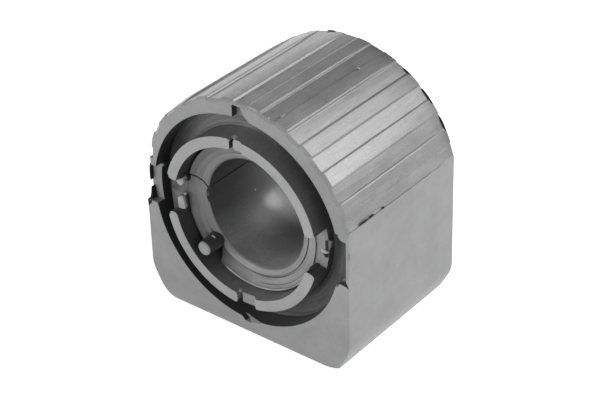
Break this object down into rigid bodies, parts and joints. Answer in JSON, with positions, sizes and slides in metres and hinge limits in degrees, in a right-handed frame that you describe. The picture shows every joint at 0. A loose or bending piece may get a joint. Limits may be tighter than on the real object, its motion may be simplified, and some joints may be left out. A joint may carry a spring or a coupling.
{
  "type": "sway bar bushing",
  "caption": "D-shaped split rubber bushing that holds a sway bar in its bore, with a ribbed arch, a flat base and recessed ends.",
  "frame": {"origin": "middle of the flat base, halfway along the body and below the bore's axis", "axes": "+Z from the flat base up to the arch, Y along the bore with the notched end at -Y, +X away from the slit"},
  "size_m": [0.048, 0.0348, 0.0495],
  "materials": {
    "rubber": "moulded, dull, worn lighter on raised faces"
  },
  "bodies": {
    "root": {"bushing": "rubber"}
  },
  "joints": []
}
